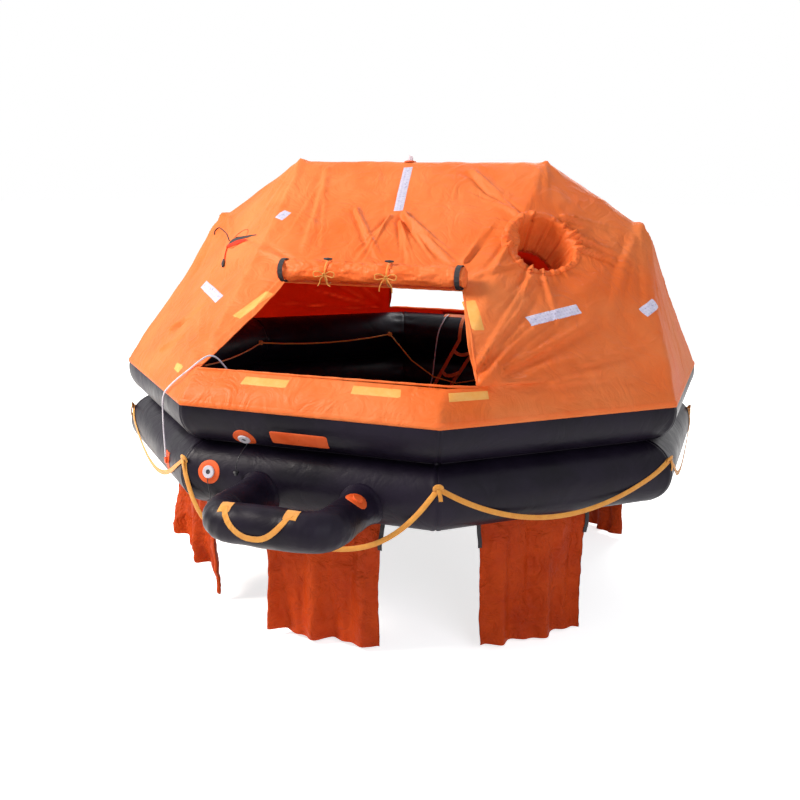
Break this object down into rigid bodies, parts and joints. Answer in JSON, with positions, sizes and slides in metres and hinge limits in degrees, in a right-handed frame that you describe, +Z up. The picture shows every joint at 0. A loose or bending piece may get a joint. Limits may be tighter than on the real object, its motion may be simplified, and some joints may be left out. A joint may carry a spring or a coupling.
{
  "type": "inflatable canopied liferaft",
  "caption": "Octagonal twin-tube liferaft with an arch-held tent canopy, rolled entrance flaps, boarding ramp, lookout port, lifelines and hanging ballast bags.",
  "frame": {"origin": "centre of the floor's underside", "axes": "+Z up, -Y out of the front entrance, X along the arch tube"},
  "size_m": [3.1406, 3.6348, 2.3846],
  "materials": {
    "tube_rubber": "satin black synthetic rubber on cloth, slightly dusty",
    "canopy_cloth": "coated orange cloth, semi-matt with soft folds",
    "bag_cloth": "thin red-orange coated cloth, translucent where it hangs in the light",
    "orange_patch": "matt orange rubberised cloth",
    "yellow_webbing": "woven flat webbing, matt",
    "orange_webbing": "woven flat webbing, matt",
    "valve_plastic": "moulded, pale grey, satin",
    "black_webbing": "woven black webbing, matt",
    "black_plastic": "moulded, satin",
    "grey_plastic": "moulded, satin",
    "white_plastic": "clear-topped lamp dome, glossy",
    "white_cord": "braided cord, matt",
    "grey_steel": "grey paint, satin",
    "head_brass": "machined"
  },
  "bodies": {
    "raft": {"upper_buoyancy_tube": "tube_rubber", "lower_buoyancy_tube": "tube_rubber", "upper_valve_patch": "tube_rubber", "upper_valve_body": "valve_plastic", "lower_valve_patch": "tube_rubber", "lower_valve_body": "valve_plastic", "upper_plug_tether": "black_plastic", "upper_plug": "black_plastic", "lower_plug_tether": "black_plastic", "lower_plug": "black_plastic", "floor_panel": "tube_rubber", "arch_tube": "tube_rubber", "front_canopy": "canopy_cloth", "rear_canopy": "canopy_cloth", "front_flap_roll": "canopy_cloth", "front_flap_strap_left": "black_webbing", "front_flap_tie_left": "yellow_webbing", "front_flap_toggle_left": "black_plastic", "front_flap_strap_right": "black_webbing", "front_flap_tie_right": "yellow_webbing", "front_flap_toggle_right": "black_plastic", "rear_flap_roll": "canopy_cloth", "rear_flap_strap_left": "black_webbing", "rear_flap_tie_left": "yellow_webbing", "rear_flap_toggle_left": "black_plastic", "rear_flap_strap_right": "black_webbing", "rear_flap_tie_right": "yellow_webbing", "rear_flap_toggle_right": "black_plastic", "lookout_port_sleeve": "canopy_cloth", "rain_collector": "bag_cloth", "light_base": "orange_patch", "light_dome": "white_plastic", "boarding_ramp": "tube_rubber", "ramp_valve_patch": "orange_patch", "ramp_valve_cap": "black_plastic", "ramp_handle": "yellow_webbing", "name_patch": "orange_patch", "outer_lifeline": "yellow_webbing", "inner_lifeline": "yellow_webbing", "painter_patch": "orange_patch", "painter": "white_cord", "painter_knot": "white_cord", "rear_line": "white_cord", "rear_line_knot": "white_cord", "boarding_ladder": "orange_webbing", "ballast_bag_front": "bag_cloth", "ballast_bag_front_right": "bag_cloth", "ballast_bag_front_left": "bag_cloth", "ballast_bag_rear": "bag_cloth", "ballast_bag_rear_right": "bag_cloth", "ballast_bag_rear_left": "bag_cloth", "gas_cylinder": "grey_steel", "operating_head": "head_brass", "cylinder_cradle": "tube_rubber", "filling_hose": "tube_rubber"},
    "upper_poppet": {"upper_valve_poppet": "grey_plastic"},
    "lower_poppet": {"lower_valve_poppet": "grey_plastic"}
  },
  "joints": [
    {"name": "upper_valve_press", "type": "slide", "parent": "raft", "child": "upper_poppet", "axis": [0, 0.7193, 0.6947], "range_m": [0, 0.004], "stiffness_N_per_m": 500, "springref_m": -0.002},
    {"name": "lower_valve_press", "type": "slide", "parent": "raft", "child": "lower_poppet", "axis": [0, 0.9744, -0.225], "range_m": [0, 0.004], "stiffness_N_per_m": 500, "springref_m": -0.002}
  ]
}
